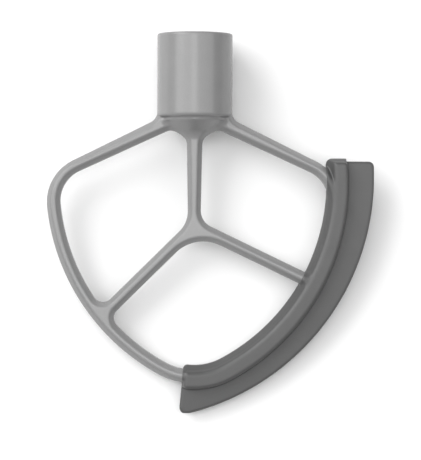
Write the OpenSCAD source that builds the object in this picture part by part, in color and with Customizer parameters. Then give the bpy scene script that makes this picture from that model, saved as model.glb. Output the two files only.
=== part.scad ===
/* [Hub] */
// Outside diameter of the hub
hub_d = 28; // [26:0.5:31]
// Length of the hub, from its mouth to the foot of its shoulder
hub_len = 31; // [29:0.5:36]
// Diameter of the blind bore: a half-inch shaft with its running clearance
bore_d = 12.9; // [10:0.1:15]
// Depth of the blind bore
bore_depth = 26; // [22:0.5:27]
// Chamfer round the mouth of the bore
bore_chamfer = 0.8; // [0.4:0.1:1.2]
// Rounding of the hub's outer rim
rim_r = 0.6; // [0.3:0.1:1]
// Rounding of the shoulder at the hub's foot
shoulder_r = 1.2; // [0.8:0.1:1.5]
// Width of the step between the hub's side and the neck under it
shoulder_step = 2; // [1.8:0.1:2.6]
// Length of the neck, from the shoulder to the cone
neck_len = 1.2; // [0.8:0.1:1.6]
// Length of the cone that runs from the neck down to the frame
cone_len = 5.2; // [4.4:0.1:5.4]

/* [Pin slot] */
// Width of the bayonet slot, for the cross pin of the shaft
slot_w = 5; // [4.4:0.1:5.6]
// Distance from the hub's mouth to the far edge of the slot's turn
slot_depth = 18; // [15:0.5:21]
// Angle that the slot turns round the hub, from the middle of its straight run
slot_turn = 58; // [50:1:62]
// Height of the seat that holds the pin at the end of the turn
slot_seat = 1.5; // [1:0.1:2.5]
// Angle that the seat takes up
seat_turn = 27; // [24:1:30]

/* [Rim] */
// Thickness of the casting from ridge to ridge
frame_h = 8.4; // [7.6:0.1:8.8]
// Width of the bars down the sides and round the bottom
bar_w = 5.1; // [4.9:0.1:5.8]
// Radius of the long side curves
side_r = 80.7; // [78:0.1:86]
// Distance of each side curve's centre beyond the hub's axis
side_across = 25.5; // [22:0.1:27]
// Distance of the side curves' centres below the shoulder
side_down = 24.7; // [22:0.1:28]
// Radius of the rounded corner between an arm and a side
corner_r = 17.2; // [12:0.1:20]
// Radius of the rim's bottom curve
bottom_r = 27.5; // [20:0.1:34]

/* [Arms] */
// Slope of the arms' upper edges below the horizontal
arm_slope = 26.3; // [23:0.1:29]
// Depth below the shoulder at which the arms leave the hub's side
arm_drop = 0.8; // [0.4:0.1:2]
// Width of an arm where it leaves the hub
arm_w = 5.6; // [5.4:0.1:6.2]
// Taper of the arms towards the rim
arm_taper = 1.6; // [0.5:0.1:1.7]
// Fillet between the hub's side and an arm
arm_fillet = 4.8; // [3:0.1:7]

/* [Rib and branches] */
// Distance of the joint of the rib and the branches below the shoulder
joint_down = 40.3; // [37:0.1:43]
// Width of the rib at the joint
rib_w = 4.7; // [4.6:0.1:5.6]
// Flare of each side of the rib towards the hub
rib_flare = 1; // [0:0.1:2]
// Width of the two branches
branch_w = 4.8; // [4.6:0.1:5.6]
// Slope of the left branch
left_slope = 44.7; // [40:0.1:48]
// Slope of the right branch
right_slope = 25.6; // [22:0.1:30]
// Fillets between the rib and the arms
hub_fillet = 5.6; // [4:0.1:7]
// Fillet between the rib and the left branch
left_fillet = 10.5; // [6:0.1:12]
// Fillet between the rib and the right branch
right_fillet = 6.5; // [4:0.1:9]
// Arch between the two branches
arch_r = 14.6; // [9:0.1:18]
// Fillets where the left branch meets the rim
end_fillet = 3.9; // [2.5:0.1:5.5]
// Fillets inside the rubber, where the right branch meets the rim
hidden_fillet = 1; // [0.6:0.1:1.3]

/* [Bar section] */
// Slope of the bars' faces, from their edges up to the ridge
face_slope = 54; // [50:1:57]
// Rounding of the bars' edges
nose_r = 2; // [1.4:0.1:2.4]
// Rounding beside the ridge
ridge_r = 0.9; // [0.5:0.1:1.2]
// Width of the flat along the ridge of a branch
ridge_flat = 0.5; // [0.4:0.1:0.9]

/* [Rubber edge] */
// Gap between the rubber and the casting that it is moulded over
edge_clearance = 0.05; // [0.03:0.01:0.1]
// Height of the rubber's top above the ridge of the bar
crown = 1; // [0.8:0.1:1.4]
// Rubber outside the bar's outer edge
wall_out = 2; // [1.7:0.1:2.6]
// Rubber inside the bar's inner edge, at the upper end
wall_in = 0.95; // [0.9:0.05:1.8]
// How much further the rubber stands inside the bar at the lower end
wall_gain = 0.8; // [0:0.05:1]
// Width of the sloped lip, from its nose to the raised channel
lip_w = 2.2; // [1.8:0.1:2.4]
// Half height of the lip's nose
lip_nose = 1.3; // [1:0.1:1.6]
// Height at which the lip's slope meets the raised channel
lip_top = 3.9; // [3.6:0.1:4.1]
// Rounding of the channel's inner top edge
channel_in_r = 2; // [1.4:0.1:2.2]
// Rounding of the channel's outer top edge
channel_out_r = 1.3; // [0.8:0.1:1.6]
// How far the lip stands past the upper end of the raised channel
lip_end = 1.4; // [1:0.1:1.8]
// How far the lip stands past the lower end of the raised channel
lip_foot = 0.8; // [0.6:0.1:1.8]
// Rounding of the channel's ends, seen from the front
channel_end_r = 1.4; // [1:0.1:1.6]
// Rounding of the lip's upper corner, seen from the front
lip_corner_r = 2.6; // [1.6:0.1:2.8]
// Length of the rounding at the lip's lower corner
lip_foot_run = 2.2; // [1.6:0.1:2.8]
// Depth of the rounding at the lip's lower corner
lip_foot_rise = 1.1; // [0.6:0.1:2]
// Depth of the rubber's upper end below the shoulder
edge_top = 15.1; // [13.5:0.1:16.5]
// How far the rubber's lower end runs past the hub's axis
edge_past = 4.4; // [3:0.1:8]
// Lean of the rubber's lower end from the upright
edge_lean = 5.5; // [0:0.1:8]

/* [Blade] */
// Width of the blade beyond the bar, at the height of the side curve's centre
blade_w = 11.6; // [9:0.1:13]
// Height of the blade curve's centre above the side curve's centre
blade_rise = 2.4; // [0:0.1:3.5]
// Distance of the blade curve's centre from the side curve's centre, towards the hub's axis
blade_shift = 1.8; // [0:0.1:3]
// Thickness of the blade where it leaves the channel
blade_root = 3.4; // [3:0.1:4]
// Thickness of the blade along its edge
blade_tip = 2.4; // [1.8:0.1:2.8]
// Distance from the rubber's upper end down to the blade's
blade_step = 1.1; // [0.5:0.1:2]
// Rounding of the blade's upper corner
blade_top_r = 1.9; // [1:0.1:3]
// Rounding of the blade's lower corner
blade_low_r = 3.4; // [2:0.1:5]

/* [Hidden] */

hub_r = hub_d / 2;
bore_r = bore_d / 2;
frame_top = frame_h / 2;
shoulder_y = -hub_len;
joint = [0, shoulder_y - joint_down];
left_c = [side_across, shoulder_y - side_down];
right_c = [-side_across, shoulder_y - side_down];
inner_r = side_r - bar_w;

// Sweep of one facet round a long curve and round a corner
long_step = 5;
corner_step = 13;
long_r = 40;
// Two arcs whose ends are nearer than this share a point
joined = 0.01;
// Overrun of a cut past the face that it opens
over = 1;
// Depth to which a buried face goes inside the solid that hides it
sunk = 0.15;

// A straight edge is [outward normal's angle, distance from the origin]
function unit(a) = [cos(a), sin(a)];
function edge_through(a, p) = [a, p * unit(a)];
function flipped(e) = [180 - e[0], e[1]];
function shifted(e, d) = [e[0], e[1] + d];
function reversed(e) = [e[0] + 180, -e[1]];
function bearing(v) = atan2(v.y, v.x);
function after(a, base) = a + 360 * ceil((base - a) / 360);

// Centre of a corner of radius r between two straight edges
function meet(e, f, r) =
    let (u = unit(e[0]), v = unit(f[0]), s = e[1] - r, t = f[1] - r, k = u.x * v.y - u.y * v.x)
    [(s * v.y - t * u.y) / k, (t * u.x - s * v.x) / k];

// Centre of a corner of radius r between a straight edge and a curve of radius rc about c
function meet_curve(e, c, rc, r, side) =
    let (u = unit(e[0]), h = e[1] - r - c * u, k = sqrt(pow(rc - r, 2) - h * h))
    c + h * u + side * k * [-u.y, u.x];

// An outline is a list of arcs [centre, radius, first normal, last normal] with straight runs between
function arc_steps(a) = ceil(abs(a[3] - a[2]) / (abs(a[1]) > long_r ? long_step : corner_step));
function arc_point(a, t, grow) = a[0] + (a[1] + grow) * unit(a[2] + (a[3] - a[2]) * t);
function outline(arcs, grow) = [
    for (k = [0 : len(arcs) - 1])
        let (a = arcs[k], b = arcs[(k + 1) % len(arcs)], n = arc_steps(a))
        let (gap = norm(arc_point(a, 1, 0) - arc_point(b, 0, 0)))
        for (i = [0 : gap > joined ? n : n - 1])
            arc_point(a, n == 0 ? 0 : i / n, grow)
];
function raised(points, z) = [for (p = points) [p.x, p.y, z]];

// Edges of the arms, the rib and the branches, with normals that point out of the metal
arm_out = edge_through(90 + arm_slope, [-hub_r, shoulder_y - arm_drop]);
arm_in = shifted(edge_through(90 + arm_slope - arm_taper, [-hub_r, shoulder_y - arm_drop]), -arm_w);
rib_a = edge_through(rib_flare, joint - [rib_w / 2, 0]);
rib_b = flipped(rib_a);
left_up = shifted(edge_through(90 + left_slope, joint), branch_w / 2);
left_low = shifted(edge_through(90 + left_slope, joint), -branch_w / 2);
right_up = shifted(edge_through(90 - right_slope, joint), branch_w / 2);
right_low = shifted(edge_through(90 - right_slope, joint), -branch_w / 2);

// The rim's bottom curve touches both side curves
bottom_c = [0, left_c.y - sqrt(pow(side_r - bottom_r, 2) - pow(side_across, 2))];
bottom_y = bottom_c.y - bottom_r;
side_turn = after(bearing(bottom_c - left_c), 180);
corner_c = meet_curve(arm_out, left_c, side_r, corner_r, 1);
corner_turn = after(bearing(corner_c - left_c), 90);

// Outer outline of the casting, counterclockwise from the middle of its hidden top edge
fillet_edge = [180, hub_r - sunk];
fillet_c = meet(fillet_edge, arm_out, -arm_fillet);
left_outline = [
    [fillet_c, -arm_fillet, 180, arm_out[0]],
    [corner_c, corner_r, arm_out[0], corner_turn],
    [left_c, side_r, corner_turn, side_turn]
];
function mirrored_arc(a) = [[-a[0].x, a[0].y], a[1], 540 - a[3], 540 - a[2]];
rim_arcs = concat(
    [[[0, fillet_c.y], 0, 90, 90]],
    left_outline,
    [[bottom_c, bottom_r, side_turn, 540 - side_turn]],
    [for (i = [len(left_outline) - 1 : -1 : 0]) mirrored_arc(left_outline[i])]
);

// Windows of the casting, with normals that point into the metal
arm_b = flipped(arm_in);
inner_corner_r = corner_r - bar_w;
a_corner = meet_curve(arm_in, left_c, inner_r, inner_corner_r, 1);
a_corner_turn = after(bearing(a_corner - left_c), 90);
a_end = meet_curve(reversed(left_up), left_c, inner_r, end_fillet, -1);
a_end_turn = after(bearing(a_end - left_c), 180);
window_a = [
    [meet(rib_a, arm_in, hub_fillet), hub_fillet, rib_a[0], arm_in[0]],
    [a_corner, inner_corner_r, arm_in[0], a_corner_turn],
    [left_c, inner_r, a_corner_turn, a_end_turn],
    [a_end, end_fillet, a_end_turn, 180 + left_up[0]],
    [meet(reversed(left_up), rib_a, left_fillet), left_fillet, 180 + left_up[0], 360 + rib_a[0]]
];

b_corner = meet_curve(arm_b, right_c, inner_r, inner_corner_r, -1);
b_corner_turn = bearing(b_corner - right_c);
b_end = meet_curve(reversed(right_up), right_c, inner_r, hidden_fillet, 1);
b_end_turn = bearing(b_end - right_c);
window_b = [
    [b_corner, inner_corner_r, b_corner_turn, arm_b[0]],
    [meet(arm_b, rib_b, hub_fillet), hub_fillet, arm_b[0], rib_b[0]],
    [meet(rib_b, reversed(right_up), right_fillet), right_fillet, rib_b[0], 180 + right_up[0]],
    [b_end, hidden_fillet, 180 + right_up[0], 360 + b_end_turn],
    [right_c, inner_r, 360 + b_end_turn, 360 + b_corner_turn]
];

c_left = meet_curve(left_low, left_c, inner_r, end_fillet, 1);
c_left_turn = after(bearing(c_left - left_c), 90);
c_right = meet_curve(right_low, right_c, inner_r, hidden_fillet, -1);
c_right_turn = after(bearing(c_right - right_c), 270);
window_c = [
    [meet(right_low, left_low, arch_r), arch_r, right_low[0], left_low[0]],
    [c_left, end_fillet, left_low[0], c_left_turn],
    [left_c, inner_r, c_left_turn, side_turn],
    [bottom_c, bottom_r - bar_w, side_turn, 540 - side_turn],
    [right_c, inner_r, 540 - side_turn, c_right_turn],
    [c_right, hidden_fillet, c_right_turn, 360 + right_low[0]]
];

// Section of a bar as [inset, height] from its edge up to the flat of its ridge
ridge_inset = (branch_w - ridge_flat) / 2;
nose_run = nose_r * (1 - sin(face_slope));
ridge_run = ridge_inset - ridge_r * sin(face_slope);
ridge_foot = frame_top - ridge_r * (1 - cos(face_slope));
nose_z = ridge_foot - (ridge_run - nose_run) * tan(face_slope) - nose_r * cos(face_slope);
round_steps = 2;
half_section = concat(
    [for (i = [0 : round_steps]) let (a = (90 - face_slope) * i / round_steps)
        [nose_r * (1 - cos(a)), nose_z + nose_r * sin(a)]],
    [for (i = [0 : round_steps]) let (a = 90 - face_slope + face_slope * i / round_steps)
        [ridge_inset - ridge_r * cos(a), frame_top - ridge_r * (1 - sin(a))]]
);
section_last = len(half_section) - 1;
bar_section = concat(
    [for (i = [section_last : -1 : 0]) [half_section[i][0], -half_section[i][1]]],
    half_section
);
// The last face of the section runs on through the ridge's plane, so that each window cuts cleanly
run_out = 2 * half_section[section_last] - half_section[section_last - 1];
window_section = concat([[run_out[0], -run_out[1]]], bar_section, [run_out]);

// Rings of points, one above the other, closed by a face at each end
module loft(rings) {
    n = len(rings[0]);
    last = len(rings) - 1;
    polyhedron(
        points = [for (ring = rings) each ring],
        faces = concat(
            [[for (i = [0 : n - 1]) i]],
            [for (j = [0 : last - 1], i = [0 : n - 1])
                [j * n + i, (j + 1) * n + i, (j + 1) * n + (i + 1) % n, j * n + (i + 1) % n]],
            [[for (i = [0 : n - 1]) last * n + (n - i) % n]]
        )
    );
}

// The cast bars: one bevelled plate with three bevelled windows
module bars(grow) {
    difference() {
        loft([for (s = bar_section)
            raised(outline(rim_arcs, grow - s[0]), s[1] + sign(s[1]) * grow)]);
        for (window = [window_a, window_b, window_c])
            loft([for (s = window_section)
                raised(outline(window, s[0] - grow), s[1] + sign(s[1]) * grow)]);
    }
}

// Turns a solid that stands on its axis so that it lies along the hub, mouth first
module along_hub() {
    rotate([90, 0, 0]) children();
}

// Hub with its shoulder, its neck and the cone that carries the frame
neck_r = hub_r - shoulder_step;
neck_fillet = 0.4;
cone_end_r = frame_top - sunk;
module hub() {
    rim = [for (a = [0 : 30 : 90]) [hub_r - rim_r * (1 - sin(a)), rim_r * (1 - cos(a))]];
    shoulder = [for (a = [0 : 30 : 90])
        [hub_r - shoulder_r * (1 - cos(a)), hub_len - shoulder_r * (1 - sin(a))]];
    along_hub()
        rotate_extrude($fn = 96)
            polygon(concat(
                [[0, 0]],
                rim,
                shoulder,
                [[neck_r + neck_fillet, hub_len], [neck_r, hub_len + neck_fillet]],
                [[neck_r, hub_len + neck_len], [cone_end_r, hub_len + neck_len + cone_len]],
                [[0, hub_len + neck_len + cone_len]]
            ));
}

// Blind bore with a chamfered mouth
module bore() {
    along_hub() {
        translate([0, 0, -over])
            cylinder(r = bore_r, h = bore_depth + over, $fn = 96);
        translate([0, 0, -over])
            cylinder(r1 = bore_r + bore_chamfer + over, r2 = bore_r, h = bore_chamfer + over, $fn = 96);
    }
}

// Bayonet slot through the hub's hidden side: down from the mouth, round, and back up to a seat
slot_in = bore_r - over;
slot_out = hub_r + over;
slot_ledge = slot_depth - slot_w;
// The straight run stops this much short of the turn's far edge
run_short = 0.3;

// A sector of the hub's wall between two angles from the straight run and two depths
module wall_sector(from, to, top, bottom) {
    rotate([0, 0, from - 90])
        rotate_extrude(angle = to - from, $fn = 96)
            translate([slot_in, top])
                square([slot_out - slot_in, bottom - top]);
}

module slot() {
    along_hub() {
        translate([-slot_w / 2, -slot_out, -over])
            cube([slot_w, slot_out - slot_in, slot_depth - run_short + over]);
        wall_sector(0, slot_turn - seat_turn / 2, slot_ledge, slot_depth);
        wall_sector(slot_turn - seat_turn, slot_turn, slot_ledge - slot_seat, slot_depth - slot_seat);
    }
}

// The rubber edge follows the right side of the rim from edge_top round past the hub's axis
edge_top_y = shoulder_y - edge_top;
end_line = edge_through(180 - edge_lean, [-edge_past, bottom_y]);
side_join = 180 - side_turn;
function top_angle(d) = asin((edge_top_y - right_c.y) / (side_r + d));
end_reach = end_line[1] - bottom_c * unit(end_line[0]);
function end_angle(d) = end_line[0] - 360 + acos(end_reach / (bottom_r + d));
side_length = side_r * (top_angle(0) - side_join) * PI / 180;
edge_length = side_length + bottom_r * (side_join - end_angle(0)) * PI / 180;
function on_side(s) = s < side_length;
function curve_c(s) = on_side(s) ? right_c : bottom_c;
function curve_r(s) = on_side(s) ? side_r : bottom_r;
// Direction from the curve's centre to the point at distance s along the bar and d beyond its edge
function curve_a(s, d) = on_side(s)
    ? top_angle(d) + (side_join - top_angle(d)) * s / side_length
    : side_join + (end_angle(d) - side_join) * (s - side_length) / (edge_length - side_length);
function placed(s, p) =
    let (q = curve_c(s) + (curve_r(s) + p[0]) * unit(curve_a(s, p[0])))
    [q.x, q.y, p[1]];

// How far a rounding, along by across in size, has drawn a face in at distance e from an end
function drawn_in(e, along, across) = e >= along ? 0 : across * (1 - sqrt(1 - pow(1 - e / along, 2)));
function rounded_in(e, r) = drawn_in(e, r, r);

// Stations along the bar from s0 to s1, close together in the rounding at each end
end_marks = [0, 0.1, 0.3, 0.55, 1];
mid_stations = 17;
function stations(s0, s1, r0, r1) = concat(
    [for (m = end_marks) s0 + m * r0],
    [for (i = [1 : mid_stations]) s0 + r0 + (s1 - r1 - s0 - r0) * i / (mid_stations + 1)],
    [for (i = [len(end_marks) - 1 : -1 : 0]) s1 - end_marks[i] * r1]
);
function quarter(c, r, a0) = [for (i = [0 : 3]) c + r * unit(a0 + 30 * i)];

// Raised channel over the bar
function lip_in(s) = -bar_w - wall_in - wall_gain * s / edge_length;
channel_top = frame_top + crown;
function channel_section(s, e) =
    let (a = lip_in(s) + lip_w + rounded_in(e, channel_end_r), b = wall_out - rounded_in(e, channel_out_r))
    let (z = channel_top - rounded_in(e, channel_out_r))
    let (ra = min(channel_in_r, (b - a) / 2.2), rb = min(channel_out_r, (b - a) / 2.2))
    concat(
        quarter([a + ra, -z + ra], ra, 180),
        quarter([b - rb, -z + rb], rb, 270),
        quarter([b - rb, z - rb], rb, 0),
        quarter([a + ra, z - ra], ra, 90)
    );

// Sloped lip round the foot of the channel
lip_back = wall_out - 2 * sunk;
lip_blunt = 0.25;
function lip_section(s) =
    let (e0 = s, e1 = edge_length - s)
    let (in0 = rounded_in(e0, lip_corner_r), in1 = drawn_in(e1, lip_foot_run, lip_foot_rise))
    let (a = lip_in(s) + in0 + in1, b = lip_back - rounded_in(min(e0, e1), channel_end_r))
    let (drop = max(0, 1 - e0 / lip_end, 1 - e1 / lip_foot))
    let (z = lip_top - (lip_top - lip_nose) * drop)
    let (slope_w = min(lip_w, (b - a) / 3) + sunk)
    [
        [a, -lip_nose / 2], [a + lip_blunt, -lip_nose], [a + slope_w, -z], [b, -z],
        [b, z], [a + slope_w, z], [a + lip_blunt, lip_nose], [a, lip_nose / 2]
    ];

// Wiping blade
blade_c = right_c + [blade_shift, blade_rise];
blade_r = side_r + blade_w - blade_shift;
blade_in = wall_out / 2;
blade_bevel = blade_tip / 2;
function blade_out(s) =
    let (v = blade_c - curve_c(s), p = v * unit(curve_a(s, blade_w)))
    p + sqrt(blade_r * blade_r - v * v + p * p) - curve_r(s);
function blade_section(s) =
    let (e0 = s - blade_step, e1 = edge_length - s)
    let (b = blade_out(s) - rounded_in(e0, blade_top_r) - rounded_in(e1, blade_low_r))
    let (shut = rounded_in(min(e0, e1), blade_bevel) * 0.8)
    let (root = blade_root / 2 - shut, tip = blade_tip / 2 - shut)
    [
        [blade_in, -root], [b - blade_bevel, -tip], [b - blade_bevel * 0.3, -tip * 0.8], [b, -tip * 0.25],
        [b, tip * 0.25], [b - blade_bevel * 0.3, tip * 0.8], [b - blade_bevel, tip], [blade_in, root]
    ];

module channel() {
    s0 = lip_end;
    s1 = edge_length - lip_foot;
    loft([for (s = stations(s0, s1, channel_end_r, channel_end_r))
        [for (p = channel_section(s, min(s - s0, s1 - s))) placed(s, p)]]);
}

module lip() {
    loft([for (s = stations(0, edge_length, lip_corner_r, lip_foot_run))
        [for (p = lip_section(s)) placed(s, p)]]);
}

module blade() {
    loft([for (s = stations(blade_step, edge_length, blade_top_r, blade_low_r))
        [for (p = blade_section(s)) placed(s, p)]]);
}

// The beater lies on the foot of its hub and on the lower end of its rubber edge.
// It turns about the origin, which is on the bore's axis where its straight wall begins.
rest_tilt = atan2(hub_r - channel_top, shoulder_r - hub_len - bottom_y);
module resting() {
    rotate([rest_tilt, 0, 0])
        translate([0, bore_chamfer, 0])
            children();
}

module beater_frame() {
    color([0.62, 0.62, 0.62])
        resting()
            difference() {
                union() {
                    bars(0);
                    hub();
                }
                bore();
                slot();
            }
}

module scraper_edge() {
    color([0.38, 0.38, 0.38])
        resting()
            difference() {
                union() {
                    channel();
                    lip();
                    blade();
                }
                bars(edge_clearance);
            }
}

beater_frame();
scraper_edge();
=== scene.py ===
import math

import bpy
import numpy as np
from mathutils import Matrix, Vector


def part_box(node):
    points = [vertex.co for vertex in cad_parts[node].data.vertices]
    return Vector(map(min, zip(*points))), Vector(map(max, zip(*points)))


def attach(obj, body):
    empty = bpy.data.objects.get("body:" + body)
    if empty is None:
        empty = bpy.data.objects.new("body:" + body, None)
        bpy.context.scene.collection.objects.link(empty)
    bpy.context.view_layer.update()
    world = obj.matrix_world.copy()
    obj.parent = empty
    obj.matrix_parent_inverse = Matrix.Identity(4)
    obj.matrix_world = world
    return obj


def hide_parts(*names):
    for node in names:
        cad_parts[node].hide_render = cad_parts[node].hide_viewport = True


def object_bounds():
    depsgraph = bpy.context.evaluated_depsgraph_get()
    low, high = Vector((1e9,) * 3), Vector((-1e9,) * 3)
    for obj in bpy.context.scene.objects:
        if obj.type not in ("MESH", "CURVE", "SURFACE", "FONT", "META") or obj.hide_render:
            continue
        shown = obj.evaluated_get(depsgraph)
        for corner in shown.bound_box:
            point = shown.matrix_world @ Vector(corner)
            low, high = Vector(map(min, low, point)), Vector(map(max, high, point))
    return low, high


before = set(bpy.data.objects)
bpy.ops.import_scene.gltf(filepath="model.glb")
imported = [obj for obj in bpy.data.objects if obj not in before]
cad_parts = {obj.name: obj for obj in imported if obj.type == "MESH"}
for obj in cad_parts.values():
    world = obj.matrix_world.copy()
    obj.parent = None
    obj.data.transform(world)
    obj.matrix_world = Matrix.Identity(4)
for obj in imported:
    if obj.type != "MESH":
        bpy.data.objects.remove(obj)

cad_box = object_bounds()

# Sizes of the part in millimetres, as in its CAD source, in the part's own plane
HUB_R = 14.0
HUB_LEN = 31.0
BORE_R = 6.45
BORE_DEPTH = 26.0
BORE_CHAMFER = 0.8
RIM_R = 0.6
SHOULDER_R = 1.2
NECK_R = 12.0
NECK_LEN = 1.2
CONE_LEN = 5.2
SLOT_W = 5.0
SLOT_DEPTH = 18.0
SLOT_TURN = 58.0
SLOT_SEAT = 1.5
SEAT_TURN = 27.0
RUN_SHORT = 0.3
FRAME_TOP = 4.2
BAR_W = 5.1
SIDE_R = 80.7
SIDE_ACROSS = 25.5
SIDE_DOWN = 24.7
CORNER_R = 17.2
BOTTOM_R = 27.5
ARM_SLOPE = 26.3
ARM_DROP = 0.8
ARM_W = 5.6
ARM_TAPER = 1.6
ARM_FILLET = 4.8
JOINT_DOWN = 40.3
RIB_W = 4.7
RIB_FLARE = 1.0
BRANCH_W = 4.8
LEFT_SLOPE = 44.7
RIGHT_SLOPE = 25.6
HUB_FILLET = 5.6
LEFT_FILLET = 10.5
RIGHT_FILLET = 6.5
ARCH_R = 14.6
END_FILLET = 3.9
HIDDEN_FILLET = 1.0
FACE_SLOPE = 54.0
NOSE_R = 2.0
RIDGE_R = 0.9
RIDGE_FLAT = 0.5
CHANNEL_TOP = 5.2
WALL_OUT = 2.0
WALL_IN = 0.95
WALL_GAIN = 0.8
LIP_W = 2.2
LIP_NOSE = 1.3
LIP_TOP = 3.9
CHANNEL_IN_R = 2.0
CHANNEL_OUT_R = 1.3
LIP_END = 1.4
LIP_FOOT = 0.8
CHANNEL_END_R = 1.4
LIP_CORNER_R = 2.6
LIP_FOOT_R = 1.6
EDGE_TOP = 15.1
EDGE_PAST = 4.4
EDGE_LEAN = 5.5
BLADE_W = 11.6
BLADE_RISE = 2.4
BLADE_SHIFT = 1.8
BLADE_ROOT = 3.4
BLADE_TIP = 2.4
BLADE_STEP = 1.1
BLADE_TOP_R = 1.9
BLADE_LOW_R = 3.4
SUNK = 0.15
# Rubber over the arm and the branch where they go in under the lip
SKIN = 0.5


# Plane geometry: a straight edge is (outward normal's angle in degrees, distance from the origin)
def unit(a):
    return np.array([math.cos(math.radians(a)), math.sin(math.radians(a))])


def edge_through(a, p):
    return a, float(np.dot(p, unit(a)))


def flipped(e):
    return 180 - e[0], e[1]


def shifted(e, d):
    return e[0], e[1] + d


def turned(e):
    return e[0] + 180, -e[1]


def bearing(v):
    return math.degrees(math.atan2(v[1], v[0]))


def after(a, base):
    return a + 360 * math.ceil((base - a) / 360)


def meet(e, f, r):
    u, v = unit(e[0]), unit(f[0])
    return np.linalg.solve(np.array([u, v]), np.array([e[1] - r, f[1] - r]))


def meet_curve(e, c, rc, r, side):
    u = unit(e[0])
    h = e[1] - r - float(np.dot(c, u))
    k = math.sqrt((rc - r) ** 2 - h * h)
    return c + h * u + side * k * np.array([-u[1], u[0]])


SHOULDER_Y = -HUB_LEN
JOINT = np.array([0, SHOULDER_Y - JOINT_DOWN])
LEFT_C = np.array([SIDE_ACROSS, SHOULDER_Y - SIDE_DOWN])
RIGHT_C = np.array([-SIDE_ACROSS, SHOULDER_Y - SIDE_DOWN])
INNER_R = SIDE_R - BAR_W
BOTTOM_C = np.array([0, LEFT_C[1] - math.sqrt((SIDE_R - BOTTOM_R) ** 2 - SIDE_ACROSS ** 2)])
BOTTOM_Y = BOTTOM_C[1] - BOTTOM_R


def casting_outlines():
    """The casting's outer outline and its three windows, each a list of arcs [centre, radius, first, last angle]."""
    foot = np.array([-HUB_R, SHOULDER_Y - ARM_DROP])
    arm_out = edge_through(90 + ARM_SLOPE, foot)
    arm_in = shifted(edge_through(90 + ARM_SLOPE - ARM_TAPER, foot), -ARM_W)
    rib_a = edge_through(RIB_FLARE, JOINT - np.array([RIB_W / 2, 0]))
    rib_b = flipped(rib_a)
    left_up = shifted(edge_through(90 + LEFT_SLOPE, JOINT), BRANCH_W / 2)
    left_low = shifted(edge_through(90 + LEFT_SLOPE, JOINT), -BRANCH_W / 2)
    right_up = shifted(edge_through(90 - RIGHT_SLOPE, JOINT), BRANCH_W / 2)
    right_low = shifted(edge_through(90 - RIGHT_SLOPE, JOINT), -BRANCH_W / 2)
    side_turn = after(bearing(BOTTOM_C - LEFT_C), 180)
    corner_c = meet_curve(arm_out, LEFT_C, SIDE_R, CORNER_R, 1)
    corner_turn = after(bearing(corner_c - LEFT_C), 90)
    fillet_c = meet((180, HUB_R - SUNK), arm_out, -ARM_FILLET)
    left = [
        (fillet_c, -ARM_FILLET, 180, arm_out[0]),
        (corner_c, CORNER_R, arm_out[0], corner_turn),
        (LEFT_C, SIDE_R, corner_turn, side_turn),
    ]
    right = [(np.array([-c[0], c[1]]), r, 540 - b, 540 - a) for c, r, a, b in reversed(left)]
    top = [(np.array([0, fillet_c[1]]), 0, 90, 90)]
    rim = top + left + [(BOTTOM_C, BOTTOM_R, side_turn, 540 - side_turn)] + right

    arm_b = flipped(arm_in)
    corner_in = CORNER_R - BAR_W
    a_corner = meet_curve(arm_in, LEFT_C, INNER_R, corner_in, 1)
    a_turn = after(bearing(a_corner - LEFT_C), 90)
    a_end = meet_curve(turned(left_up), LEFT_C, INNER_R, END_FILLET, -1)
    a_end_turn = after(bearing(a_end - LEFT_C), 180)
    window_a = [
        (meet(rib_a, arm_in, HUB_FILLET), HUB_FILLET, rib_a[0], arm_in[0]),
        (a_corner, corner_in, arm_in[0], a_turn),
        (LEFT_C, INNER_R, a_turn, a_end_turn),
        (a_end, END_FILLET, a_end_turn, 180 + left_up[0]),
        (meet(turned(left_up), rib_a, LEFT_FILLET), LEFT_FILLET, 180 + left_up[0], 360 + rib_a[0]),
    ]
    b_corner = meet_curve(arm_b, RIGHT_C, INNER_R, corner_in, -1)
    b_turn = bearing(b_corner - RIGHT_C)
    b_end = meet_curve(turned(right_up), RIGHT_C, INNER_R, HIDDEN_FILLET, 1)
    b_end_turn = bearing(b_end - RIGHT_C)
    window_b = [
        (b_corner, corner_in, b_turn, arm_b[0]),
        (meet(arm_b, rib_b, HUB_FILLET), HUB_FILLET, arm_b[0], rib_b[0]),
        (meet(rib_b, turned(right_up), RIGHT_FILLET), RIGHT_FILLET, rib_b[0], 180 + right_up[0]),
        (b_end, HIDDEN_FILLET, 180 + right_up[0], 360 + b_end_turn),
        (RIGHT_C, INNER_R, 360 + b_end_turn, 360 + b_turn),
    ]
    c_left = meet_curve(left_low, LEFT_C, INNER_R, END_FILLET, 1)
    c_left_turn = after(bearing(c_left - LEFT_C), 90)
    c_right = meet_curve(right_low, RIGHT_C, INNER_R, HIDDEN_FILLET, -1)
    c_right_turn = after(bearing(c_right - RIGHT_C), 270)
    window_c = [
        (meet(right_low, left_low, ARCH_R), ARCH_R, right_low[0], left_low[0]),
        (c_left, END_FILLET, left_low[0], c_left_turn),
        (LEFT_C, INNER_R, c_left_turn, side_turn),
        (BOTTOM_C, BOTTOM_R - BAR_W, side_turn, 540 - side_turn),
        (RIGHT_C, INNER_R, 540 - side_turn, c_right_turn),
        (c_right, HIDDEN_FILLET, c_right_turn, 360 + right_low[0]),
    ]
    return rim, (window_a, window_b, window_c)


RIM, WINDOWS = casting_outlines()


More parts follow.
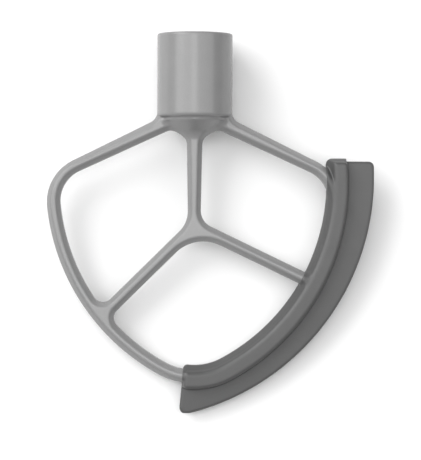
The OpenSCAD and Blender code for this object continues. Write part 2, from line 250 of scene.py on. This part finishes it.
def outline_distance(arcs, x, y):
    """Distance from an outline of arcs joined by straight runs, positive inside it."""
    best = np.full(x.shape, 1e9)
    sign = np.ones(x.shape)
    for k, (c, r, a0, a1) in enumerate(arcs):
        n = arcs[(k + 1) % len(arcs)]
        if r != 0:
            lo, hi = min(a0, a1), max(a0, a1)
            dx, dy = (x - c[0]) * np.sign(r), (y - c[1]) * np.sign(r)
            turn = np.mod(np.degrees(np.arctan2(dy, dx)) - lo, 360)
            gap = (abs(r) - np.hypot(dx, dy)) * np.sign(r)
            near = (turn <= hi - lo) & (np.abs(gap) < best)
            best = np.where(near, np.abs(gap), best)
            sign = np.where(near, np.sign(gap), sign)
        p = c + r * unit(a1)
        q = n[0] + n[1] * unit(n[2])
        run = q - p
        size = float(np.hypot(*run))
        if size > 1e-3:
            u = run / size
            along = np.clip((x - p[0]) * u[0] + (y - p[1]) * u[1], 0, size)
            dx, dy = x - p[0] - along * u[0], y - p[1] - along * u[1]
            gap = np.hypot(dx, dy)
            side = u[0] * (y - p[1]) - u[1] * (x - p[0])
            near = gap < best
            best = np.where(near, gap, best)
            sign = np.where(near, np.sign(side), sign)
    return best * sign


class Table:
    """Signed distance from a closed outline in a plane, negative inside, looked up by bilinear interpolation."""

    def __init__(self, points, low, high, step):
        self.low, self.step = np.array(low, float), step
        self.n = np.ceil((np.array(high) - self.low) / step).astype(int) + 1
        u = self.low[0] + step * np.arange(self.n[0])[:, None]
        v = self.low[1] + step * np.arange(self.n[1])[None, :]
        best = np.full((self.n[0], self.n[1]), 1e9)
        inside = np.zeros(best.shape, bool)
        pts = np.array(points, float)
        for p, q in zip(pts, np.roll(pts, -1, axis=0)):
            run = q - p
            size = float(run @ run)
            if size < 1e-12:
                continue
            t = np.clip(((u - p[0]) * run[0] + (v - p[1]) * run[1]) / size, 0, 1)
            best = np.minimum(best, np.hypot(u - p[0] - t * run[0], v - p[1] - t * run[1]))
            cross = (p[1] > v) != (q[1] > v)
            if abs(run[1]) > 1e-12:
                inside ^= cross & (u < p[0] + (v - p[1]) * run[0] / run[1])
        self.values = np.where(inside, -best, best)

    def __call__(self, u, v):
        fu = np.clip((u - self.low[0]) / self.step, 0, self.n[0] - 1.001)
        fv = np.clip((v - self.low[1]) / self.step, 0, self.n[1] - 1.001)
        i, j = fu.astype(int), fv.astype(int)
        s, t = fu - i, fv - j
        w = self.values
        return (w[i, j] * (1 - s) + w[i + 1, j] * s) * (1 - t) + (w[i, j + 1] * (1 - s) + w[i + 1, j + 1] * s) * t


def arc_points(c, r, a0, a1, n):
    return [(c[0] + r * math.cos(math.radians(a)), c[1] + r * math.sin(math.radians(a))) for a in np.linspace(a0, a1, n)]


def bar_table():
    """Section of a bar's edge as (inset, height)."""
    slope = math.radians(FACE_SLOPE)
    ridge_inset = (BRANCH_W - RIDGE_FLAT) / 2
    nose_run = NOSE_R * (1 - math.sin(slope))
    ridge_run = ridge_inset - RIDGE_R * math.sin(slope)
    ridge_foot = FRAME_TOP - RIDGE_R * (1 - math.cos(slope))
    nose_z = ridge_foot - (ridge_run - nose_run) * math.tan(slope) - NOSE_R * math.cos(slope)
    nose = arc_points((NOSE_R, nose_z), NOSE_R, 180, 90 + FACE_SLOPE, 9)
    ridge = arc_points((ridge_inset, FRAME_TOP - RIDGE_R), RIDGE_R, 90 + FACE_SLOPE, 90, 9)
    points = [(0, -9)] + nose + ridge + [(40, FRAME_TOP), (40, -9)]
    return Table(points, (-4, 0), (12, 8), 0.04)


def hub_table():
    """Section of the hub as (distance from its axis, depth below its mouth)."""
    t1 = HUB_LEN + NECK_LEN + CONE_LEN
    points = [(BORE_R + BORE_CHAMFER, 0)]
    points += arc_points((HUB_R - RIM_R, RIM_R), RIM_R, -90, 0, 7)
    points += arc_points((HUB_R - SHOULDER_R, HUB_LEN - SHOULDER_R), SHOULDER_R, 0, 90, 9)
    points += [(NECK_R + 0.4, HUB_LEN), (NECK_R, HUB_LEN + 0.4), (NECK_R, HUB_LEN + NECK_LEN)]
    points += [(FRAME_TOP - SUNK, t1), (-9, t1), (-9, BORE_DEPTH), (BORE_R, BORE_DEPTH), (BORE_R, BORE_CHAMFER)]
    return Table(points, (0, -4), (19, 44), 0.08)


BAR = bar_table()
HUB = hub_table()


def round_max(a, b, r):
    """Where both are inside, as a solid whose outer corner is rounded by r."""
    return np.minimum(-r, np.maximum(a, b)) + np.hypot(np.maximum(a + r, 0), np.maximum(b + r, 0))


def smooth_min(a, b, k):
    h = np.clip(0.5 + 0.5 * (b - a) / np.maximum(k, 1e-6), 0, 1)
    return b + (a - b) * h - k * h * (1 - h)


def ramp(x, low, high):
    t = np.clip((x - low) / (high - low), 0, 1)
    return t * t * (3 - 2 * t)


def casting_plan(x, y):
    return [outline_distance(RIM, x, y)] + [-outline_distance(w, x, y) for w in WINDOWS]


def bars_field(plan, z):
    f = BAR(plan[0], np.abs(z))
    for d in plan[1:]:
        f = np.maximum(f, BAR(d, np.abs(z)))
    return f


def slot_field(x, y, z):
    t = -y
    r = np.hypot(x, z)
    turn = np.degrees(np.arctan2(x, -z))
    run = np.maximum(np.maximum(np.abs(x) - SLOT_W / 2, t - (SLOT_DEPTH - RUN_SHORT)), z)

    def sector(first, last, top, bottom):
        a = r * np.sin(np.radians(np.clip(first - turn, -89, 89)))
        b = r * np.sin(np.radians(np.clip(turn - last, -89, 89)))
        return np.maximum(np.maximum(a, b), np.maximum(top - t, t - bottom))

    ledge = SLOT_DEPTH - SLOT_W
    f = np.minimum(run, sector(0, SLOT_TURN - SEAT_TURN / 2, ledge, SLOT_DEPTH))
    return np.minimum(f, sector(SLOT_TURN - SEAT_TURN, SLOT_TURN, ledge - SLOT_SEAT, SLOT_DEPTH - SLOT_SEAT))


def casting_field(plan, x, y, z):
    f = bars_field(plan, z)
    t = -y
    hub = HUB(np.hypot(x, z), t)
    blend = 2.2 * ramp(-np.abs(x), -13.4, -11.6) * ramp(t, HUB_LEN - 0.5, HUB_LEN + 1.5)
    f = smooth_min(f, hub, blend)
    return np.maximum(f, -slot_field(x, y, z))


# The rubber edge, in distance beyond the bar's outer edge and distance from each end
SIDE_JOIN = bearing(BOTTOM_C - RIGHT_C)
TOP_Y = SHOULDER_Y - EDGE_TOP
END_LINE = edge_through(180 - EDGE_LEAN, np.array([-EDGE_PAST, BOTTOM_Y]))
TOP_ANGLE = math.degrees(math.asin((TOP_Y - RIGHT_C[1]) / SIDE_R))
END_ANGLE = bearing(np.array([-EDGE_PAST, BOTTOM_Y]) - BOTTOM_C)
SIDE_LENGTH = SIDE_R * math.radians(TOP_ANGLE - SIDE_JOIN)
EDGE_LENGTH = SIDE_LENGTH + BOTTOM_R * math.radians(SIDE_JOIN - END_ANGLE)
BLADE_C = RIGHT_C + np.array([BLADE_SHIFT, BLADE_RISE])
BLADE_R = SIDE_R + BLADE_W - BLADE_SHIFT


def rubber_plan(x, y):
    side_a = np.degrees(np.arctan2(y - RIGHT_C[1], x - RIGHT_C[0]))
    low_a = np.degrees(np.arctan2(y - BOTTOM_C[1], x - BOTTOM_C[0]))
    on_side = side_a >= SIDE_JOIN
    d = np.where(on_side, np.hypot(x - RIGHT_C[0], y - RIGHT_C[1]) - SIDE_R,
                 np.hypot(x - BOTTOM_C[0], y - BOTTOM_C[1]) - BOTTOM_R)
    low_a = np.where(low_a > 90, low_a - 360, low_a)
    s = np.where(on_side, SIDE_R * np.radians(TOP_ANGLE - side_a),
                 SIDE_LENGTH + BOTTOM_R * np.radians(SIDE_JOIN - low_a))
    s = np.clip(s, 0, EDGE_LENGTH)
    e0 = TOP_Y - y
    u = unit(END_LINE[0])
    e1 = END_LINE[1] - (x * u[0] + y * u[1])
    b = BLADE_R - np.hypot(x - BLADE_C[0], y - BLADE_C[1])
    return [d, s, e0, e1, b] + casting_plan(x, y)


def rubber_field(plan, x, y, z):
    d, s, e0, e1, out = plan[:5]
    h = np.abs(z)
    nose = -BAR_W - WALL_IN - WALL_GAIN * s / EDGE_LENGTH
    a = nose + LIP_W
    ends = np.maximum(LIP_END - e0, LIP_FOOT - e1)
    plan_f = round_max(np.maximum(a - d, d - WALL_OUT), ends, CHANNEL_END_R)
    channel = np.maximum(round_max(a - d, h - CHANNEL_TOP, CHANNEL_IN_R), round_max(plan_f, h - CHANNEL_TOP, CHANNEL_OUT_R))
    rise = LIP_TOP - LIP_NOSE
    slope = ((h - LIP_NOSE) * LIP_W - (d - nose - 0.25) * rise) / math.hypot(LIP_W, rise)
    end0 = ((h - LIP_NOSE) * LIP_END - e0 * rise) / math.hypot(LIP_END, rise)
    end1 = ((h - LIP_NOSE) * LIP_FOOT - e1 * rise) / math.hypot(LIP_FOOT, rise)
    lip = round_max(round_max(nose - d, -e0, LIP_CORNER_R), -e1, LIP_FOOT_R)
    lip = np.maximum(lip, d - WALL_OUT + 2 * SUNK)
    skin = round_max(lip, bars_field(plan[5:], z) - SKIN, 0.3)
    lip = round_max(lip, np.maximum(np.maximum(slope, end0), np.maximum(end1, h - LIP_TOP)), 0.3)
    half = BLADE_ROOT / 2 + (BLADE_TIP - BLADE_ROOT) / 2 * np.clip((d - WALL_OUT / 2) / BLADE_W, 0, 1)
    blade = round_max(-out, BLADE_STEP - e0, BLADE_TOP_R)
    blade = round_max(blade, -e1, BLADE_LOW_R)
    blade = np.maximum(blade, WALL_OUT / 2 - d)
    blade = round_max(blade, h - half, 0.9)
    f = np.minimum(smooth_min(smooth_min(channel, lip, 0.4), skin, 0.5), blade)
    return f


def surface(plan_of, field, low, high, pitch, column=None):
    """The field's zero surface as vertices and quads. column is the part of the grid that is deeper than the slab: (x0, x1, y0, slab)."""
    axes = [np.arange(low[i], high[i] + pitch, pitch) for i in range(3)]
    nx, ny, nz = (len(a) for a in axes)
    gx, gy = np.meshgrid(axes[0], axes[1], indexing="ij")
    plan = plan_of(gx, gy)
    grid = np.full((nx, ny, nz), 1.0, np.float32)
    deep = np.ones((nx, ny), bool)
    if column:
        deep = (gx > column[0]) & (gx < column[1]) & (gy > column[2])
    deep_plan = [p[deep] for p in plan]
    for k, z in enumerate(axes[2]):
        if column and abs(z) > column[3]:
            grid[:, :, k][deep] = field(deep_plan, gx[deep], gy[deep], np.full(deep.sum(), z))
        else:
            grid[:, :, k] = field(plan, gx, gy, np.full(gx.shape, z))
    inside = grid < 0
    count = np.zeros((nx - 1, ny - 1, nz - 1), np.uint8)
    corners = [(i, j, k) for i in (0, 1) for j in (0, 1) for k in (0, 1)]
    for i, j, k in corners:
        count += inside[i:nx - 1 + i, j:ny - 1 + j, k:nz - 1 + k]
    cells = np.argwhere((count > 0) & (count < 8))
    values = np.stack([grid[cells[:, 0] + i, cells[:, 1] + j, cells[:, 2] + k] for i, j, k in corners], 1)
    total = np.zeros((len(cells), 3))
    hits = np.zeros(len(cells))
    for m, p in enumerate(corners):
        for n, q in enumerate(corners):
            if n > m and sum(abs(p[i] - q[i]) for i in range(3)) == 1:
                a, b = values[:, m], values[:, n]
                crossed = (a < 0) != (b < 0)
                t = np.where(crossed, a / np.where(crossed, a - b, 1), 0)
                point = np.array(p) + t[:, None] * (np.array(q) - np.array(p))
                total += np.where(crossed[:, None], point, 0)
                hits += crossed
    verts = np.array([a[0] for a in axes]) + pitch * (cells + total / hits[:, None])
    index = np.full(count.shape, -1, np.int32)
    index[cells[:, 0], cells[:, 1], cells[:, 2]] = np.arange(len(cells))
    quads = []
    for axis in range(3):
        step = [0, 0, 0]
        step[axis] = 1
        first = inside[: nx - step[0], : ny - step[1], : nz - step[2]]
        second = inside[step[0]:, step[1]:, step[2]:]
        edges = np.argwhere(first != second)
        starts_in = first[edges[:, 0], edges[:, 1], edges[:, 2]]
        u, v = [np.eye(3, dtype=int)[(axis + n) % 3] for n in (1, 2)]
        ring = [edges - u - v, edges - v, edges, edges - u]
        quad = np.stack([index[r[:, 0], r[:, 1], r[:, 2]] for r in ring], 1)
        quad[~starts_in] = quad[~starts_in][:, ::-1]
        quads.append(quad)
    quads = np.concatenate(quads)
    return verts, quads


def settled(verts, quads, plan_of, field, rounds):
    """Evens out the mesh and puts each vertex on the field's zero surface."""
    pairs = np.concatenate([quads[:, [0, 1]], quads[:, [1, 2]], quads[:, [2, 3]], quads[:, [3, 0]]])
    pairs = np.concatenate([pairs, pairs[:, ::-1]])
    degree = np.bincount(pairs[:, 0], minlength=len(verts))

    def value(p):
        return field(plan_of(p[:, 0], p[:, 1]), p[:, 0], p[:, 1], p[:, 2])

    h = 0.03
    for n in range(rounds):
        if n < rounds - 1:
            mean = np.stack([np.bincount(pairs[:, 0], verts[pairs[:, 1], i], len(verts)) for i in range(3)], 1)
            verts = verts + np.clip(0.5 * (mean / degree[:, None] - verts), -0.08, 0.08)
        f = value(verts)
        slope = np.stack([value(verts + h * e) - value(verts - h * e) for e in np.eye(3)], 1) / (2 * h)
        size = np.maximum((slope ** 2).sum(1), 0.25)
        verts = verts - np.clip(f, -0.3, 0.3)[:, None] * slope / size[:, None]
    return verts


# From the part's own plane to the row's frame: it lies tilted, on the foot of the hub and the lower end of the rubber
TILT = math.atan2(HUB_R - CHANNEL_TOP, SHOULDER_R - HUB_LEN - BOTTOM_Y)
TO_ROW = Matrix.Rotation(TILT, 4, "X") @ Matrix.Translation((0, BORE_CHAMFER, 0))


def row_points(verts):
    m = np.array(TO_ROW)
    return (verts @ m[:3, :3].T + m[:3, 3]) * 0.001


def make_piece(name, verts, quads, material, node):
    low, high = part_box(node)
    points = np.clip(row_points(verts), np.array(low), np.array(high))
    mesh = bpy.data.meshes.new(name)
    mesh.from_pydata(points.tolist(), [], quads.tolist())
    mesh.validate()
    mesh.shade_smooth()
    piece = bpy.data.objects.new(name, mesh)
    bpy.context.scene.collection.objects.link(piece)
    mesh.materials.append(material)
    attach(piece, "root")
    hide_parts(node)
    print(name, len(verts), "vertices", 2 * len(quads), "triangles")
    return piece


def node_tools(name):
    mat = bpy.data.materials.new(name)
    mat.use_nodes = True
    return mat, mat.node_tree, mat.node_tree.nodes["Principled BSDF"]


def noise(tree, coords, scale, detail, rough):
    n = tree.nodes.new("ShaderNodeTexNoise")
    n.inputs["Scale"].default_value = scale
    n.inputs["Detail"].default_value = detail
    n.inputs["Roughness"].default_value = rough
    tree.links.new(coords.outputs["Object"], n.inputs["Vector"])
    return n


def spread(tree, source, low, high):
    m = tree.nodes.new("ShaderNodeMapRange")
    m.inputs["To Min"].default_value = low
    m.inputs["To Max"].default_value = high
    m.inputs["From Min"].default_value = 0.3
    m.inputs["From Max"].default_value = 0.7
    tree.links.new(source, m.inputs["Value"])
    return m.outputs["Result"]


def finish_material(name, base, vary, rough, rough_vary, bump_fine, bump_wide):
    mat, tree, bsdf = node_tools(name)
    coords = tree.nodes.new("ShaderNodeTexCoord")
    grain = noise(tree, coords, 2600, 3, 0.6)
    cloud = noise(tree, coords, 160, 3, 0.5)
    peel = noise(tree, coords, 700, 2, 0.5)
    tone = tree.nodes.new("ShaderNodeMix")
    tone.data_type = "RGBA"
    tone.inputs["A"].default_value = (base * (1 - vary),) * 3 + (1,)
    tone.inputs["B"].default_value = (base * (1 + vary),) * 3 + (1,)
    blend = tree.nodes.new("ShaderNodeMath")
    blend.operation = "MULTIPLY_ADD"
    tree.links.new(spread(tree, grain.outputs["Fac"], 0, 1), blend.inputs[0])
    blend.inputs[1].default_value = 0.6
    tree.links.new(spread(tree, cloud.outputs["Fac"], 0, 0.4), blend.inputs[2])
    tree.links.new(blend.outputs["Value"], tone.inputs["Factor"])
    tree.links.new(tone.outputs["Result"], bsdf.inputs["Base Color"])
    tree.links.new(spread(tree, cloud.outputs["Fac"], rough - rough_vary, rough + rough_vary), bsdf.inputs["Roughness"])
    fine = tree.nodes.new("ShaderNodeBump")
    fine.inputs["Strength"].default_value = 1
    fine.inputs["Distance"].default_value = bump_fine
    tree.links.new(grain.outputs["Fac"], fine.inputs["Height"])
    wide = tree.nodes.new("ShaderNodeBump")
    wide.inputs["Strength"].default_value = 1
    wide.inputs["Distance"].default_value = bump_wide
    tree.links.new(peel.outputs["Fac"], wide.inputs["Height"])
    tree.links.new(fine.outputs["Normal"], wide.inputs["Normal"])
    tree.links.new(wide.outputs["Normal"], bsdf.inputs["Normal"])
    return mat


coating = finish_material("grey_coating", 0.215, 0.05, 0.24, 0.03, 0.000003, 0.000008)
rubber = finish_material("dark_rubber", 0.07, 0.06, 0.42, 0.04, 0.000006, 0.000008)

FRAME_PITCH = 0.46
RUBBER_PITCH = 0.42
verts, quads = surface(casting_plan, casting_field, (-56, -131.5, -14.7), (56, 0.9, 14.7), FRAME_PITCH, (-15, 15, -42, 5.0))
verts = settled(verts, quads, casting_plan, casting_field, 4)
make_piece("beater_casting", verts, quads, coating, "beater_frame")
verts, quads = surface(rubber_plan, rubber_field, (-8, -142, -5.8), (69, -44.5, 5.8), RUBBER_PITCH)
verts = settled(verts, quads, rubber_plan, rubber_field, 4)
make_piece("rubber_scraper", verts, quads, rubber, "scraper_edge")

# Floor, camera and lights
FLOOR_Z = cad_box[0].z
floor_mesh = bpy.data.meshes.new("floor")
SPAN = 3.0
floor_mesh.from_pydata([(-SPAN, -SPAN, FLOOR_Z), (SPAN, -SPAN, FLOOR_Z), (SPAN, SPAN, FLOOR_Z), (-SPAN, SPAN, FLOOR_Z)],
                       [], [(0, 1, 2, 3)])
floor = bpy.data.objects.new("floor", floor_mesh)
bpy.context.scene.collection.objects.link(floor)
floor_mat, floor_tree, floor_bsdf = node_tools("pale_floor")
floor_bsdf.inputs["Base Color"].default_value = (0.86, 0.86, 0.86, 1)
floor_bsdf.inputs["Roughness"].default_value = 0.9
floor_bsdf.inputs["Specular IOR Level"].default_value = 0.1
floor_mesh.materials.append(floor_mat)

AIM = (6.05, -72.89)
CAMERA_UP = 950
camera_data = bpy.data.cameras.new("camera")
camera_data.sensor_width = 36
camera_data.lens = 199.9
camera_data.clip_start = 0.05
camera_data.clip_end = 20
camera = bpy.data.objects.new("camera", camera_data)
bpy.context.scene.collection.objects.link(camera)
eye = TO_ROW @ Vector((AIM[0], AIM[1], CAMERA_UP))
camera.matrix_world = Matrix.Translation(eye * 0.001) @ Matrix.Rotation(TILT, 4, "X") @ Matrix.Rotation(math.radians(0.25), 4, "Z")
bpy.context.scene.camera = camera


def softbox(name, direction, distance, width, height, power, target=(0, -0.06, 0)):
    """An area light of that width and height in metres, at distance from the target along direction."""
    data = bpy.data.lights.new(name, "AREA")
    data.shape = "RECTANGLE"
    data.size = width
    data.size_y = height
    data.energy = power
    light = bpy.data.objects.new(name, data)
    bpy.context.scene.collection.objects.link(light)
    d = Vector(direction).normalized()
    light.location = Vector(target) + d * distance
    light.rotation_euler = d.to_track_quat("Z", "Y").to_euler()
    return light


def lean(a):
    return math.sin(math.radians(a)), 0, math.cos(math.radians(a))


softbox("left_strip", lean(-26.5), 1.2, 0.53, 1.6, 7)
softbox("right_strip", lean(24.5), 1.2, 0.73, 1.6, 6)
softbox("key", (-0.9, 0.7, 0.85), 1.6, 1.1, 1.1, 19)

world = bpy.data.worlds.new("studio")
world.use_nodes = True
world.node_tree.nodes["Background"].inputs["Color"].default_value = (1, 1, 1, 1)
world.node_tree.nodes["Background"].inputs["Strength"].default_value = 0.42
bpy.context.scene.world = world
bpy.context.scene.view_settings.view_transform = "Standard"

bpy.context.view_layer.update()
